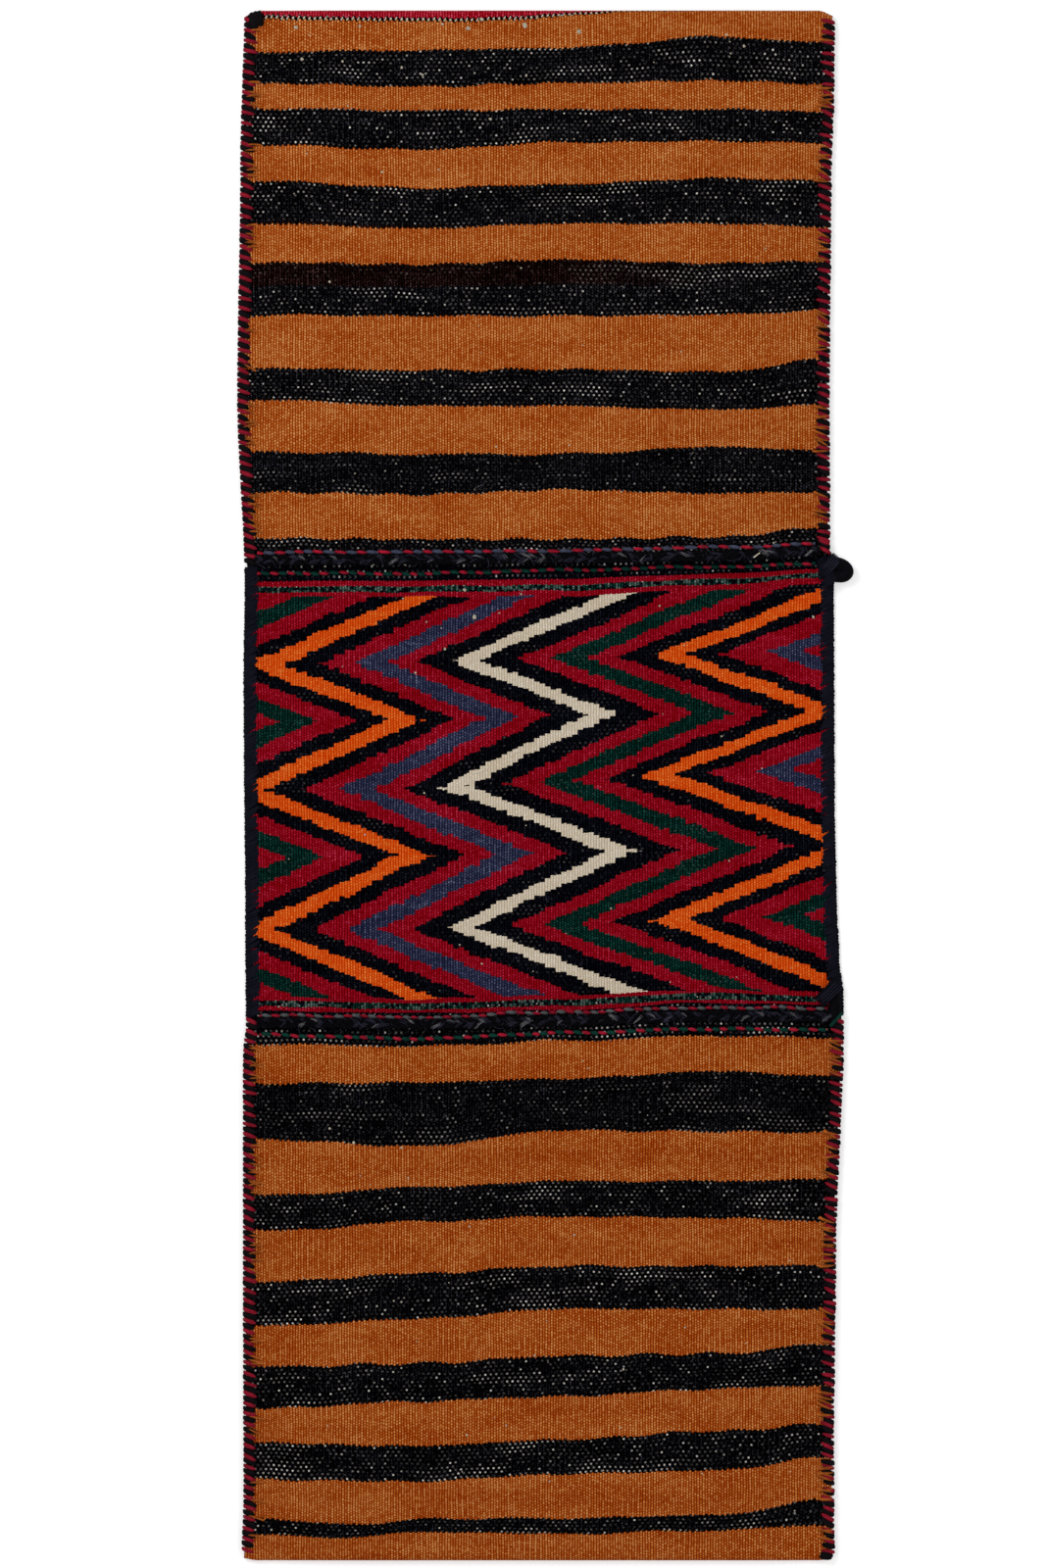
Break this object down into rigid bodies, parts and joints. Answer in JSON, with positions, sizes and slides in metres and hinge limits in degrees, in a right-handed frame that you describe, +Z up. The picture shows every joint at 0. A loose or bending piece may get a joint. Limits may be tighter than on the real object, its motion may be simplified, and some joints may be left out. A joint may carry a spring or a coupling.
{
  "type": "kilim saddle bag",
  "caption": "Flat-woven wool double saddle bag: striped pockets at both ends, a zigzag bridge, overcast seams, twined and braided mouths and closing loops.",
  "frame": {"origin": "on the underside, at the middle of the bag's length and of its nominal width", "axes": "+Z up, away from what the bag lies on; +Y along the bag, from the lower pocket to the upper pocket; +X to the right, towards the closing loops"},
  "size_m": [0.4976, 1.26, 0.0152],
  "materials": {
    "kilim_wool": "matt hand-woven wool, orange and black stripes and a zigzag in six colours",
    "seam_wool": "matt plied wool, red and black",
    "selvedge_wool": "matt plied wool, dark blue",
    "goat_hair": "dark coarse goat hair with a slight sheen",
    "twining_red_slate": "matt plied wool, red and slate blue",
    "twining_red_green": "matt plied wool, red and green",
    "twining_red_grey": "matt plied wool, red and grey"
  },
  "bodies": {
    "root": {"kilim_strip": "kilim_wool", "seam_upper_left": "seam_wool", "seam_upper_right": "seam_wool", "seam_lower_left": "seam_wool", "seam_lower_right": "seam_wool", "selvedge_left": "selvedge_wool", "selvedge_right": "selvedge_wool", "corner_lashing_upper": "goat_hair", "corner_lashing_lower": "goat_hair", "mouth_braid_upper": "goat_hair", "mouth_braid_lower": "goat_hair", "twining_lip_upper": "twining_red_slate", "twining_bridge_upper": "twining_red_green", "twining_bridge_lower": "twining_red_grey", "twining_lip_lower": "twining_red_green", "closing_loop_upper": "goat_hair", "closing_loop_lower": "goat_hair"}
  },
  "joints": []
}
